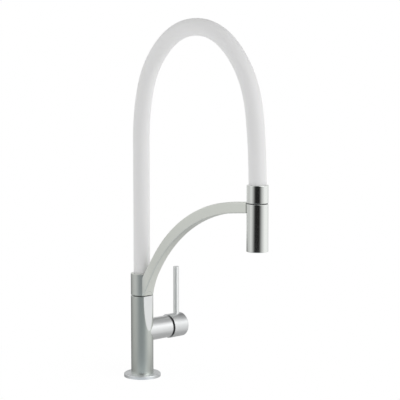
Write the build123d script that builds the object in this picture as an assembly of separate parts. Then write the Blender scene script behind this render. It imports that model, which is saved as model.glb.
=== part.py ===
from build123d import *
from math import acos, asin, atan2, cos, degrees, hypot, pi, radians, sin, sqrt, tan
import os

# Pull-out kitchen faucet, in millimetres.
# The origin is the centre of the base flange's underside. +Z is up, +X is the way the support
# arm and the spray head point, and +Y is the way the lever branch points.

# Clearances
running_gap = 0.06          # radial, for parts that turn or slide in each other
fit_gap = 0.1               # radial, for parts pushed or screwed into each other
side_gap = 0.3              # between faces that pass each other

# Base
flange_radius = 28.0
flange_height = 5.1
flange_edge_round = 1.4
foot_step = 2.0             # from the column's outside in to its foot, inside the flange
foot_recess = 0.4           # from the deck up to the foot's underside
seal_inner_radius = 20.5
seal_outer_radius = 25.0
seal_height = 1.6

# Column and lever branch
column_radius = 17.0
column_height = 125.2
branch_wall = 2.0           # outside the bore for the cartridge nut
branch_height = 70.0        # of the branch's axis above the deck
branch_length = 49.0        # from the column's axis to the branch's end
casting_edge_round = 0.5

# Fixing and inlets in the column's foot
stud_radius = 3.4           # tapped wall of M8
stud_depth = 22.0
stud_offset = 8.4
inlet_radius = 4.5          # tapped wall of M10 x 1
inlet_depth = 16.0
inlet_spacing = 12.4
inlet_offset = -4.0
riser_radius = 2.8

# Mixing cartridge, on the branch's axis
cartridge_radius = 12.5
cartridge_seal_gap = 0.5
base_length = 7.0
disc_play = 0.2             # radial, between the fixed disc and the shell
fixed_disc_thickness = 3.5
moving_disc_thickness = 5.5
moving_disc_play = 0.73     # between the moving disc and the shell, at either end of its slide
chamber_radius = 5.8
chamber_depth = 1.6
shell_wall = 1.4
shell_length = 22.5
shell_lid = 3.0
rotor_play = 1.7            # between the rotor and the shell
rotor_shoulder = 0.8
rotor_nose = 4.0            # of the rotor past the pivot pin
pivot_pin_radius = 1.6
pivot_pin_inset = 0.6
slider_arm = 11.5           # from the pivot to the ball that drives the moving disc
drive_ball_radius = 2.2
drive_neck_radius = 1.5
tilt_angle = 20.0           # the lever's opening angle
port_radius = 2.4
port_spacing = 11.6
port_drop = 3.0
outlet_port_rise = 6.6
nut_rim = 2.4               # of the nut outside the cartridge
nut_width = 4.3
nut_length = 7.0
nut_recess = 2.0            # from the branch's end in to the nut
nut_slot = 3.0
port_seal_width = 1.0

# Bonnet ring, in the gap behind the lever cap
bonnet_width = 3.4
bonnet_gap = 0.7            # between its dome and the lever cap's inner edge
bonnet_length = 7.6

# Lever
cap_overhang = 1.5          # of the cap outside the branch
cap_gap = 2.4               # from the branch's end to the cap's rim, above the axis
cap_wedge_gap = 5.4         # what the wedge adds at the bottom of the rim
cap_length = 27.9
cap_wall = 2.9
cap_floor = 15.4
cap_edge_round = 1.6
stem_width = 7.0
stem_corner_radius = 4.4
stem_eye_radius = 3.4
stem_inset = 7.3            # from the cap's end face in to the stem's end
rod_radius = 4.5
rod_inset = 10.1            # from the cap's end face in to the rod's axis
rod_reach = 92.0            # from the branch's axis up to the rod's top
rod_edge_round = 0.5
rod_stub_radius = 3.0
rod_stub_length = 7.0
rod_stub_play = 1.2         # under the stub
grub_radius = 2.5
grub_length = 6.0
plug_length = 3.0
plug_inset = 0.2
key_radius = 1.25
key_depth = 2.5

# Neck and turning collar
neck_gap = 1.4              # height of the dark ring between column and collar
neck_ring_inset = 4.3       # from the column's outside in to the dark ring
spigot_radius = 9.5
spigot_thread_radius = 8.0
spigot_thread_length = 12.0
spigot_rise = 14.0          # above the collar's underside
spigot_bore_radius = 5.0
neck_seal_rise = 2.6        # of the lower O-ring above the collar's underside
neck_seal_drop = 1.8        # of the upper O-ring below the spigot's top
neck_o_ring_wire = 0.75
lock_groove_rise = 6.7
lock_groove_width = 4.6
lock_groove_depth = 1.4
lock_screw_radius = 2.5
lock_tip_radius = 2.0
lock_screw_inset = 1.2
collar_height = 32.6
socket_depth = 9.2          # how far the hose sits in the collar
nipple_thread_radius = 7.0
nipple_o_ring_wire = 0.7
nipple_groove_rise = 2.0      # of its O-ring above the nipple's lower end

# Support arm: both faces are arcs that run out into straight tangents at the arm's end.
# The arcs' centres are X and the height above the collar's underside.
arm_outer_arc_radius = 231.8
arm_outer_arc_center = (221.3, -72.9)
arm_inner_arc_radius = 227.7
arm_inner_arc_center = (226.1, -84.0)
arm_straight_from = 205.0
arm_width = 14.0
arm_root_width = 21.4
arm_flare_end = 31.0
arm_edge_round = 1.2

# Reach and dock
reach = 248.0               # from the column's axis to the spray head's axis
dock_pad_thickness = 1.8
magnet_size = (4.0, 8.0, 9.0)
magnet_cover = 1.2          # arm metal between the magnet and the pad

# Hose
hose_radius = 12.5
hose_bore_radius = 7.8
inner_hose_radius = 6.5
inner_hose_bore_radius = 4.5
ferrule_outer_radius = 7.5
ferrule_length = 16.0
nipple_bore_radius = 3.2
barb_length = 18.0
barb_ridges = 4
barb_height = 0.5
hose_socket_gap = 0.3
hose_first_bend = 402.0       # height where the upright stretch above the collar ends
hose_arch = [(22.0, 478.0), (87.0, 531.0), (170.0, 526.0), (233.0, 460.0)]
hose_last_bend = 366.0        # height of the last bend, above the spray head

# Spray head
spray_length = 66.3
head_collar_length = 24.7
head_lip = 2.5              # metal round the hose, which sets the head's radius
dock_rise = 5.35            # of the spray shell's top above the middle of the arm's end
swivel_gap = 1.3
swivel_ring_inset = 1.1     # from the head's outside in to the dark groove
head_edge_round = 0.6
head_socket_depth = 12.0
head_web = 4.0
head_hollow_wall = 2.6      # of the collar below its web
head_wall = 1.7
shell_top_thickness = 3.0
spindle_radius = 6.0
spindle_tip_radius = 4.6
spindle_bore_radius = 2.4
spindle_shoulder = 1.0      # of its thread outside the spindle
clip_width = 2.8
clip_thickness = 2.4
spindle_tip_length = 10.0
spindle_o_ring_wire = 0.6
spindle_groove_rise = 3.0     # of its O-ring above the spindle's lower end
keeper_height = 14.6
keeper_thickness = 1.8
core_recess = 1.6           # from the shell's lower edge up to the core
core_throat_radius = 3.2
core_top_gap = 0.4
valve_radius = 5.6
valve_length = 18.0
valve_bore_radius = 3.0
valve_bore_depth = 6.0
valve_hole_radius = 1.1
valve_hole_circle = 2.4
filter_thickness = 1.2
filter_hole_radius = 0.5
filter_hole_circle = 1.8
aerator_radius = 10.6
aerator_length = 12.0
aerator_stand_out = 0.6     # below the core
aerator_wall = 1.5
aerator_lip = 1.0
aerator_lip_height = 1.2
aerator_seal_thickness = 1.8
aerator_seal_width = 3.4
insert_recess = 1.0         # of the insert in the housing's lower end
aerator_hole_radius = 0.75
aerator_rings = ((2.6, 6), (5.0, 12), (7.2, 18))

# Sizes, heights and distances that follow from those above
foot_radius = column_radius - foot_step
nut_outer_radius = cartridge_radius + nut_rim
nut_inner_radius = nut_outer_radius - nut_width
bonnet_inner_radius = nut_outer_radius - bonnet_width
branch_radius = nut_outer_radius + fit_gap + branch_wall
neck_ring_outer = column_radius - neck_ring_inset
collar_radius = column_radius
cap_radius = branch_radius + cap_overhang
head_radius = hose_radius + hose_socket_gap + head_lip
collar_bottom = column_height + neck_gap
collar_top = collar_bottom + collar_height
socket_floor = collar_top - socket_depth
spigot_top = collar_bottom + spigot_rise
shell_far = branch_length - nut_recess - nut_length
base_far = shell_far - shell_length
cartridge_seat = base_far - base_length - cartridge_seal_gap
fixed_disc_far = base_far + fixed_disc_thickness
moving_disc_far = fixed_disc_far + moving_disc_thickness
pivot_distance = shell_far - shell_lid
slider_travel = slider_arm * sin(radians(tilt_angle))
disc_radius = cartridge_radius - shell_wall - disc_play
moving_disc_radius = cartridge_radius - shell_wall - moving_disc_play - slider_travel / 2
rotor_radius = cartridge_radius - shell_wall - rotor_play
rotor_cap_radius = rotor_radius - rotor_shoulder
spindle_thread_radius = spindle_radius + spindle_shoulder
clip_radius = spindle_radius + clip_width
cap_rim = branch_length + cap_gap
cap_end = cap_rim + cap_length
cap_cavity_end = cap_end - cap_floor
bonnet_dome_radius = hypot(cap_rim - pivot_distance, cap_radius - cap_wall) - bonnet_gap
rod_distance = cap_end - rod_inset
rod_top = branch_height + rod_reach
stem_reach = cap_end - stem_inset
dock_radius = head_radius + side_gap
shell_inner_radius = head_radius - head_wall
swivel_ring_radius = head_radius - swivel_ring_inset


def arm_face(offset, radius):
    """Points of one long face of the arm: foot, middle and end of the arc, and end of the run-out."""
    center = Vector(offset[0], collar_bottom + offset[1])
    foot_angle = pi - asin((collar_bottom - center.Y) / radius)
    end_angle = acos((arm_straight_from - center.X) / radius)
    foot, middle, end = [
        center + Vector(radius * cos(angle), radius * sin(angle))
        for angle in (foot_angle, (foot_angle + end_angle) / 2, end_angle)
    ]
    slope = -1 / tan(end_angle)
    tip = Vector(reach, end.Y + slope * (reach - end.X))
    return foot, middle, end, tip


arm_outer_face = arm_face(arm_outer_arc_center, arm_outer_arc_radius)
arm_inner_face = arm_face(arm_inner_arc_center, arm_inner_arc_radius)
dock_height = (arm_outer_face[3].Y + arm_inner_face[3].Y) / 2
head_split = dock_height + dock_rise
head_top = head_split + swivel_gap + head_collar_length
head_bottom = head_split - spray_length
hose_end = head_top - head_socket_depth
plate_bottom = head_split - shell_top_thickness
clip_bottom = plate_bottom - clip_thickness
spindle_bottom = clip_bottom - spindle_tip_length
core_bottom = head_bottom + core_recess
core_top = plate_bottom - core_top_gap
magnet_far = reach - dock_radius - dock_pad_thickness - magnet_cover


def rod_z(radius, low, high, x=0.0, y=0.0):
    """A round bar along Z."""
    bar = Cylinder(radius, high - low, align=(Align.CENTER, Align.CENTER, Align.MIN))
    return Pos(x, y, low) * bar


def rod_y(radius, near, far, x=0.0, z=branch_height):
    """A round bar along Y."""
    bar = Cylinder(radius, far - near, align=(Align.CENTER, Align.CENTER, Align.MIN))
    return Pos(x, near, z) * Rot(-90, 0, 0) * bar


def rod_x(radius, near, far, y=0.0, z=branch_height):
    """A round bar along X."""
    bar = Cylinder(radius, far - near, align=(Align.CENTER, Align.CENTER, Align.MIN))
    return Pos(near, y, z) * Rot(0, 90, 0) * bar


def tube_z(outer, inner, low, high, x=0.0, y=0.0):
    """A round tube along Z."""
    return rod_z(outer, low, high, x, y) - rod_z(inner, low - 1, high + 1, x, y)


def tube_y(outer, inner, near, far):
    """A round tube along Y, on the branch's axis."""
    return rod_y(outer, near, far) - rod_y(inner, near - 1, far + 1)


def round_edges_at(part, axis, place, radius):
    """Round the round edges that lie in one plane across an axis."""
    edges = part.edges().filter_by(GeomType.CIRCLE)
    return fillet(edges.filter_by_position(axis, place - 0.01, place + 0.01), radius)


def o_ring_z(shaft_radius, wire, height, x=0.0):
    """An O-ring flush with the outside of a vertical shaft."""
    return Pos(x, 0, height) * Torus(shaft_radius - wire, wire)


def o_ring_groove(shaft_radius, wire, height, x=0.0):
    """The groove that this O-ring fills."""
    half = wire + fit_gap
    return tube_z(shaft_radius + 1, shaft_radius - 2 * wire, height - half, height + half, x)


# Base


def make_base_flange():
    flange = rod_z(flange_radius, 0, flange_height)
    flange = round_edges_at(flange, Axis.Z, flange_height, flange_edge_round)
    flange -= rod_z(foot_radius + fit_gap, -1, flange_height + 1)
    flange -= tube_z(seal_outer_radius + fit_gap, seal_inner_radius - fit_gap, -1, seal_height)
    return flange


def make_base_seal():
    return tube_z(seal_outer_radius, seal_inner_radius, 0, seal_height)


# Mixer body


def make_column_flat():
    """What the hollow flat on the column's front cuts away: deepest at the neck, none at the branch."""
    depth = column_radius - arm_inner_face[0].X
    height = column_height - branch_height
    radius = (depth**2 + height**2) / (2 * depth)
    angle = asin(height / radius) / 2
    top = Vector(column_radius - depth, column_height)
    middle = top + Vector(radius * (1 - cos(angle)), -radius * sin(angle))
    end = Vector(column_radius, branch_height)
    outside = 2 * column_radius
    with BuildSketch(Plane.XZ) as flat:
        with BuildLine():
            ThreePointArc(top, middle, end)
            Line(end, (outside, branch_height))
            Line((outside, branch_height), (outside, column_height + 1))
            Line((outside, column_height + 1), (top.X, column_height + 1))
            Line((top.X, column_height + 1), top)
        make_face()
    return extrude(flat.sketch, column_radius, both=True)


def make_mixer_body():
    body = rod_z(column_radius, flange_height, column_height) - make_column_flat()
    body = round_edges_at(body, Axis.Z, column_height, casting_edge_round)
    body += rod_z(foot_radius, foot_recess, flange_height)
    branch = rod_y(branch_radius, 0, branch_length)
    branch = round_edges_at(branch, Axis.Y, branch_length, casting_edge_round)
    body += branch
    body -= rod_y(cartridge_radius + fit_gap, cartridge_seat, branch_length + 1)
    body -= rod_y(nut_outer_radius + fit_gap, shell_far - shell_lid, branch_length + 1)
    body -= rod_z(stud_radius, foot_recess - 1, foot_recess + stud_depth, 0, stud_offset)
    for side in (-1, 1):
        x = side * inlet_spacing / 2
        port_height = branch_height - port_drop
        body -= rod_z(inlet_radius, foot_recess - 1, foot_recess + inlet_depth, x, inlet_offset)
        body -= rod_z(riser_radius, foot_recess, port_height + riser_radius, x, inlet_offset)
        body -= rod_y(port_radius, inlet_offset, cartridge_seat + 1, side * port_spacing / 2, port_height)
    outlet_height = branch_height + outlet_port_rise
    body -= rod_y(port_radius, 0, cartridge_seat + 1, 0, outlet_height)
    body -= rod_z(spigot_bore_radius, outlet_height - port_radius, column_height + 1)
    body -= rod_z(spigot_thread_radius + fit_gap, column_height - spigot_thread_length, column_height + 1)
    return body


def make_neck_slide_ring():
    return tube_z(neck_ring_outer, spigot_radius + fit_gap, column_height, collar_bottom - running_gap)


def neck_groove_heights():
    """Heights of the two O-rings of the swivel seal."""
    return collar_bottom + neck_seal_rise, spigot_top - neck_seal_drop


def make_neck_spigot():
    spigot = rod_z(spigot_radius, column_height, spigot_top)
    spigot += rod_z(spigot_thread_radius, column_height - spigot_thread_length + fit_gap, column_height)
    for height in neck_groove_heights():
        spigot -= o_ring_groove(spigot_radius, neck_o_ring_wire, height)
    lock_low = collar_bottom + lock_groove_rise - lock_groove_width / 2
    lock_floor = spigot_radius - lock_groove_depth
    spigot -= tube_z(spigot_radius + 1, lock_floor, lock_low, lock_low + lock_groove_width)
    spigot -= rod_z(spigot_bore_radius, column_height - spigot_thread_length - 1, spigot_top + 1)
    return spigot


def make_neck_o_rings():
    return [o_ring_z(spigot_radius, neck_o_ring_wire, height) for height in neck_groove_heights()]


# Mixing cartridge


def cartridge_ports():
    """Places of the cartridge's ports: x and z of each."""
    low = branch_height - port_drop
    sides = [(-port_spacing / 2, low), (port_spacing / 2, low)]
    return sides + [(0.0, branch_height + outlet_port_rise)]


def make_cartridge_base():
    base = rod_y(cartridge_radius, cartridge_seat + cartridge_seal_gap, base_far)
    for x, z in cartridge_ports():
        base -= rod_y(port_radius, cartridge_seat, base_far + 1, x, z)
    return base


def make_cartridge_seals():
    inner = port_radius
    outer = port_radius + port_seal_width
    near = cartridge_seat
    far = cartridge_seat + cartridge_seal_gap
    seals = []
    for x, z in cartridge_ports():
        seals.append(rod_y(outer, near, far, x, z) - rod_y(inner, near - 1, far + 1, x, z))
    return seals


def make_fixed_disc():
    disc = rod_y(disc_radius, base_far, fixed_disc_far)
    for x, z in cartridge_ports():
        disc -= rod_y(port_radius, base_far - 1, fixed_disc_far + 1, x, z)
    return disc


def make_moving_disc():
    """Closed at rest: half its travel below the axis, with its chamber off the outlet port."""
    near = fixed_disc_far + running_gap
    center = branch_height - slider_travel / 2
    disc = rod_y(moving_disc_radius, near, moving_disc_far, 0, center)
    disc -= rod_y(chamber_radius, near - 1, near + chamber_depth, 0, center)
    ball_near = pivot_distance - slider_arm - drive_ball_radius
    return disc - rod_y(drive_ball_radius + fit_gap, ball_near - fit_gap, moving_disc_far + 1)


def make_cartridge_shell():
    shell = rod_y(cartridge_radius, base_far, shell_far)
    shell -= rod_y(cartridge_radius - shell_wall, base_far - 1, shell_far - shell_lid)
    shell -= rod_y(rotor_cap_radius + running_gap, base_far, shell_far + 1)
    return shell


def make_cartridge_rotor():
    near = moving_disc_far + side_gap
    shoulder = shell_far - shell_lid - running_gap
    far = pivot_distance + rotor_nose
    rotor = rod_y(rotor_radius, near, shoulder) + rod_y(rotor_cap_radius, near, far)
    rotor -= rod_x(pivot_pin_radius, -rotor_radius, rotor_radius, pivot_distance)
    slot_width = stem_width + 2 * side_gap
    slot_height = 2 * (slider_travel + drive_ball_radius + side_gap)
    slot_length = far - near + 2
    slot_center = (near + far) / 2
    rotor -= Pos(0, slot_center, branch_height) * Box(slot_width, slot_length, slot_height)
    return rotor


def make_pivot_pin():
    half_length = rotor_cap_radius - pivot_pin_inset
    return rod_x(pivot_pin_radius, -half_length, half_length, pivot_distance)


def make_cartridge_nut():
    nut = tube_y(nut_outer_radius, nut_inner_radius, shell_far, shell_far + nut_length)
    slot = Box(nut_slot, nut_slot, 2 * nut_outer_radius + 2)
    return nut - Pos(0, shell_far + nut_length, branch_height) * slot


def make_bonnet_ring():
    near = shell_far + nut_length
    far = near + bonnet_length
    ring = tube_y(nut_outer_radius, bonnet_inner_radius, near, far)
    dome = Pos(0, pivot_distance, branch_height) * Sphere(bonnet_dome_radius)
    return ring & dome


# Lever


def make_lever_stem():
    drive_near = pivot_distance - slider_arm
    stem = Pos(0, drive_near, branch_height) * Sphere(drive_ball_radius)
    stem += rod_y(drive_neck_radius, drive_near, pivot_distance)
    stem += rod_x(stem_eye_radius, -stem_width / 2, stem_width / 2, pivot_distance)
    shank_length = stem_reach - pivot_distance
    shank = Box(stem_width, shank_length, stem_width, align=(Align.CENTER, Align.MIN, Align.CENTER))
    shank = Pos(0, pivot_distance, branch_height) * shank
    stem += shank & rod_y(stem_corner_radius, pivot_distance, stem_reach)
    stem -= rod_x(pivot_pin_radius + running_gap, -stem_width, stem_width, pivot_distance)
    return stem


def make_lever_cap():
    cap = rod_y(cap_radius, cap_rim, cap_end)
    cap = round_edges_at(cap, Axis.Y, cap_end, cap_edge_round)
    cap -= rod_y(cap_radius - cap_wall, cap_rim - 1, cap_cavity_end)
    wedge_angle = degrees(atan2(cap_wedge_gap, cap_radius))
    cutter = Box(3 * cap_radius, 20, 3 * cap_radius, align=(Align.CENTER, Align.MAX, Align.MAX))
    cap -= Pos(0, cap_rim, branch_height) * Rot(-wedge_angle, 0, 0) * cutter
    socket = Box(stem_width + 2 * fit_gap, cap_floor, stem_width + 2 * fit_gap)
    socket = Pos(0, stem_reach + fit_gap - cap_floor / 2, branch_height) * socket
    cap -= socket & rod_y(stem_corner_radius + fit_gap, cap_rim, cap_end)
    stub_floor = branch_height + cap_radius - rod_stub_length - rod_stub_play
    cap -= rod_z(rod_stub_radius + fit_gap, stub_floor, rod_top, 0, rod_distance)
    cap -= rod_z(grub_radius + fit_gap, branch_height - cap_radius - 1, branch_height, 0, rod_distance)
    return cap


def make_lever_rod():
    rod = rod_z(rod_radius, branch_height, rod_top, 0, rod_distance)
    rod = round_edges_at(rod, Axis.Z, rod_top, rod_edge_round)
    rod -= rod_y(cap_radius, 0, 2 * cap_end)
    stub_low = branch_height + cap_radius - rod_stub_length
    rod += rod_z(rod_stub_radius, stub_low, rod_top - rod_radius, 0, rod_distance)
    return rod


def make_lever_grub_screw():
    high = branch_height - stem_width / 2
    screw = rod_z(grub_radius, high - grub_length, high, 0, rod_distance)
    key = extrude(RegularPolygon(key_radius, 6), key_depth)
    return screw - Pos(0, rod_distance, high - grub_length) * key


def make_screw_plug():
    low = branch_height - cap_radius + plug_inset
    return rod_z(grub_radius, low, low + plug_length, 0, rod_distance)


# Support arm


def make_arm_profile():
    """The arm seen from its side."""
    foot_o, middle_o, end_o, tip_o = arm_outer_face
    foot_i, middle_i, end_i, tip_i = arm_inner_face
    with BuildSketch(Plane.XZ) as profile:
        with BuildLine():
            ThreePointArc(foot_o, middle_o, end_o)
            Line(end_o, tip_o)
            Line(tip_o, tip_i)
            Line(tip_i, end_i)
            ThreePointArc(end_i, middle_i, foot_i)
            Line(foot_i, foot_o)
        make_face()
    return extrude(profile.sketch, arm_root_width, both=True)


def make_arm_plan():
    """The arm seen from above: flared where it leaves the collar."""
    half_root = arm_root_width / 2
    half = arm_width / 2
    root_x = sqrt(collar_radius**2 - half_root**2)
    with BuildSketch() as plan:
        with BuildLine():
            flare = TangentArc((arm_flare_end, half), (root_x, half_root), tangent=(-1, 0))
            Line(flare @ 1, (0, half_root))
            Line((0, half_root), (0, -half_root))
            Line((0, -half_root), (root_x, -half_root))
            other = TangentArc((arm_flare_end, -half), (root_x, -half_root), tangent=(-1, 0))
            Line(other @ 0, (2 * reach, -half))
            Line((2 * reach, -half), (2 * reach, half))
            Line((2 * reach, half), flare @ 0)
        make_face()
    return Pos(0, 0, collar_bottom) * extrude(plan.sketch, 2 * reach)


def make_arm_hollow():
    """The room under the arm, up to its inner face: it also cuts a flat on the collar's front."""
    foot, middle, end, _ = arm_inner_face
    low = collar_bottom - 1
    with BuildSketch(Plane.XZ) as hollow:
        with BuildLine():
            ThreePointArc(foot, middle, end)
            Line(end, (end.X, low))
            Line((end.X, low), (foot.X, low))
            Line((foot.X, low), foot)
        make_face()
    return extrude(hollow.sketch, column_radius, both=True)


def make_arm_bar():
    bar = make_arm_profile() & make_arm_plan()
    long_edges = [edge for edge in bar.edges() if edge.length > 60]
    return fillet(long_edges, arm_edge_round)


def make_support_arm():
    arm = rod_z(collar_radius, collar_bottom, collar_top) - make_arm_hollow()
    arm = round_edges_at(arm, Axis.Z, collar_top, casting_edge_round)
    arm = round_edges_at(arm, Axis.Z, collar_bottom, casting_edge_round)
    arm += make_arm_bar()
    arm -= rod_z(spigot_radius + running_gap, collar_bottom - 1, spigot_top + running_gap)
    arm -= rod_z(nipple_thread_radius + fit_gap, collar_bottom, collar_top)
    arm -= rod_z(hose_radius + hose_socket_gap, socket_floor, 2 * head_top)
    lock_height = collar_bottom + lock_groove_rise
    arm -= rod_x(lock_screw_radius + fit_gap, -collar_radius - 1, 0, 0, lock_height)
    arm -= rod_z(dock_radius + dock_pad_thickness, collar_bottom, 2 * head_top, reach)
    pocket = Box(magnet_size[0] + 2 * fit_gap, magnet_size[1] + 2 * fit_gap, magnet_size[2] + 2 * fit_gap)
    arm -= Pos(magnet_far - magnet_size[0] / 2, 0, dock_height) * pocket
    return arm


def make_dock_magnet():
    return Pos(magnet_far - magnet_size[0] / 2, 0, dock_height) * Box(*magnet_size)


def make_dock_pad():
    pad = tube_z(dock_radius + dock_pad_thickness, dock_radius, collar_top, 2 * head_top, reach)
    return pad & make_arm_bar()


def make_arm_lock_screw():
    height = collar_bottom + lock_groove_rise
    tip = -(spigot_radius - lock_groove_depth + side_gap)
    shoulder = -(spigot_radius + side_gap)
    head = -collar_radius + lock_screw_inset
    screw = rod_x(lock_tip_radius, head, tip, 0, height) + rod_x(lock_screw_radius, head, shoulder, 0, height)
    key = extrude(Plane.YZ * RegularPolygon(key_radius, 6), key_depth)
    return screw - Pos(head, 0, height) * key


# Hose


def route_points():
    """Every point of the hose's centre line, from the collar's socket to the spray head's."""
    start = [(0.0, socket_floor), (0.0, hose_first_bend)]
    return start + hose_arch + [(reach, hose_last_bend), (reach, hose_end)]


def corner_radii(points):
    """Radius of the arc at each corner: 0.45 of the shorter run, over the tangent of half the turn."""
    radii = []
    for before, corner, after in zip(points, points[1:], points[2:]):
        run_in = Vector(corner[0] - before[0], 0, corner[1] - before[1])
        run_out = Vector(after[0] - corner[0], 0, after[1] - corner[1])
        half_turn = radians(run_in.get_angle(run_out)) / 2
        radii.append(0.45 * min(run_in.length, run_out.length) / tan(half_turn))
    return radii


def hose_path():
    points = route_points()
    radii = corner_radii(points)
    return FilletPolyline(*[(x, 0, z) for x, z in points], radius=radii)


def make_hose_tube(outer, inner):
    section = Plane.XY.offset(socket_floor) * (Circle(outer) - Circle(inner))
    return sweep(section, path=hose_path())


def make_hose_sleeve():
    return make_hose_tube(hose_radius, hose_bore_radius)


def make_inner_hose():
    return make_hose_tube(inner_hose_radius, inner_hose_bore_radius)


def barb_z(low, high, x, points_up):
    """A barbed spout: a tube with ridges that bite the hose's bore."""
    core_radius = inner_hose_bore_radius - barb_height
    barb = rod_z(core_radius, low, high, x)
    pitch = (high - low) / barb_ridges
    for index in range(barb_ridges):
        start = low + index * pitch
        ridge = Cone(inner_hose_bore_radius, core_radius, pitch * 0.8)
        turn = Rot(0, 0, 0) if points_up else Rot(180, 0, 0)
        barb += Pos(x, 0, start + pitch / 2) * turn * ridge
    return barb


def make_hose_nipple_lower():
    low = spigot_top + side_gap
    nipple = rod_z(nipple_thread_radius, low, socket_floor)
    nipple += barb_z(socket_floor, socket_floor + barb_length, 0, True)
    nipple -= o_ring_groove(nipple_thread_radius, nipple_o_ring_wire, low + nipple_groove_rise)
    return nipple - rod_z(nipple_bore_radius, 0, head_top)


def make_nipple_o_ring():
    height = spigot_top + side_gap + nipple_groove_rise
    return o_ring_z(nipple_thread_radius, nipple_o_ring_wire, height)


def make_ferrule(low, high, x=0.0):
    return tube_z(ferrule_outer_radius, inner_hose_radius, low, high, x)


def make_hose_ferrule_lower():
    return make_ferrule(socket_floor, socket_floor + ferrule_length)


def make_hose_ferrule_upper():
    return make_ferrule(hose_end, hose_end + ferrule_length, reach)


# Spray head, hose side


def make_head_collar():
    low = head_split + swivel_gap
    collar = rod_z(head_radius, low, head_top, reach)
    collar = round_edges_at(collar, Axis.Z, head_top, head_edge_round)
    collar = round_edges_at(collar, Axis.Z, low, head_edge_round / 2)
    collar -= rod_z(hose_radius + hose_socket_gap, hose_end, head_top + 1, reach)
    collar -= rod_z(spindle_thread_radius + fit_gap, low - 1, head_top, reach)
    collar -= rod_z(head_radius - head_hollow_wall, low - 1, hose_end - head_web, reach)
    return collar


def make_hose_nipple_upper():
    nipple = rod_z(spindle_thread_radius, hose_end - head_web, hose_end, reach)
    nipple += rod_z(spindle_radius, clip_bottom, hose_end, reach)
    nipple += rod_z(spindle_tip_radius, spindle_bottom, hose_end, reach)
    nipple += barb_z(hose_end, hose_end + barb_length, reach, True)
    groove_height = spindle_bottom + spindle_groove_rise
    nipple -= o_ring_groove(spindle_tip_radius, spindle_o_ring_wire, groove_height, reach)
    return nipple - rod_z(spindle_bore_radius, 0, 2 * head_top, reach)


def make_spindle_clip():
    return tube_z(clip_radius, spindle_radius, clip_bottom, plate_bottom - running_gap, reach)


def make_spindle_o_ring():
    height = spindle_bottom + spindle_groove_rise
    return o_ring_z(spindle_tip_radius, spindle_o_ring_wire, height, reach)


def make_swivel_ring():
    low = head_split + running_gap
    high = head_split + swivel_gap
    return tube_z(swivel_ring_radius, spindle_radius + fit_gap, low, high, reach)


# Spray head, turning side


def ring_of_holes(radius, circle, count, low, high):
    """Upright holes evenly round the spray head's axis."""
    holes = []
    for step in range(count):
        angle = 2 * pi * step / count
        holes.append(rod_z(radius, low, high, reach + circle * cos(angle), circle * sin(angle)))
    return holes


def make_spray_shell():
    shell = rod_z(head_radius, head_bottom, head_split, reach)
    shell = round_edges_at(shell, Axis.Z, head_split, head_edge_round / 2)
    shell = round_edges_at(shell, Axis.Z, head_bottom, head_edge_round)
    shell -= rod_z(shell_inner_radius, head_bottom - 1, plate_bottom, reach)
    return shell - rod_z(spindle_radius + running_gap, head_bottom, head_split + 1, reach)


def make_keeper_ring():
    inner = shell_inner_radius - keeper_thickness
    return tube_z(shell_inner_radius, inner, core_top - keeper_height, core_top, reach)


def valve_span():
    """Lowest and highest height of the check valve."""
    low = core_bottom + aerator_length + aerator_seal_thickness
    return low, low + valve_length


def make_spray_core():
    core = rod_z(shell_inner_radius, core_bottom, core_top - keeper_height, reach)
    core += rod_z(shell_inner_radius - keeper_thickness, core_bottom, core_top, reach)
    core -= rod_z(clip_radius + side_gap, clip_bottom - side_gap, core_top + 1, reach)
    filter_seat = spindle_bottom - side_gap - filter_thickness
    core -= rod_z(spindle_tip_radius + running_gap, filter_seat, core_top, reach)
    core -= rod_z(core_throat_radius, core_bottom, core_top, reach)
    core -= rod_z(valve_radius + fit_gap, core_bottom, valve_span()[1], reach)
    core -= rod_z(aerator_radius + fit_gap, core_bottom - 1, valve_span()[0], reach)
    return core


def make_filter_washer():
    high = spindle_bottom - side_gap
    low = high - filter_thickness
    washer = rod_z(spindle_tip_radius, low, high, reach)
    return washer - ring_of_holes(filter_hole_radius, filter_hole_circle, 6, low - 1, high + 1)


def make_check_valve():
    low, high = valve_span()
    valve = rod_z(valve_radius, low, high, reach)
    floor = high - valve_bore_depth
    valve -= rod_z(valve_bore_radius, floor, high + 1, reach)
    return valve - ring_of_holes(valve_hole_radius, valve_hole_circle, 4, low - 1, floor + 1)


def make_aerator_seal():
    low = core_bottom + aerator_length
    high = low + aerator_seal_thickness
    return tube_z(aerator_radius, aerator_radius - aerator_seal_width, low, high, reach)


def make_aerator_housing():
    high = core_bottom + aerator_length
    inner = aerator_radius - aerator_wall
    housing = tube_z(aerator_radius, inner, core_bottom - aerator_stand_out, high, reach)
    return housing + tube_z(aerator_radius, inner - aerator_lip, high - aerator_lip_height, high, reach)


def make_aerator_insert():
    low = core_bottom - aerator_stand_out + insert_recess
    high = core_bottom + aerator_length - aerator_lip_height
    insert = rod_z(aerator_radius - aerator_wall, low, high, reach)
    for circle, count in aerator_rings:
        insert -= ring_of_holes(aerator_hole_radius, circle, count, low - 1, high + 1)
    return insert


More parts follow.
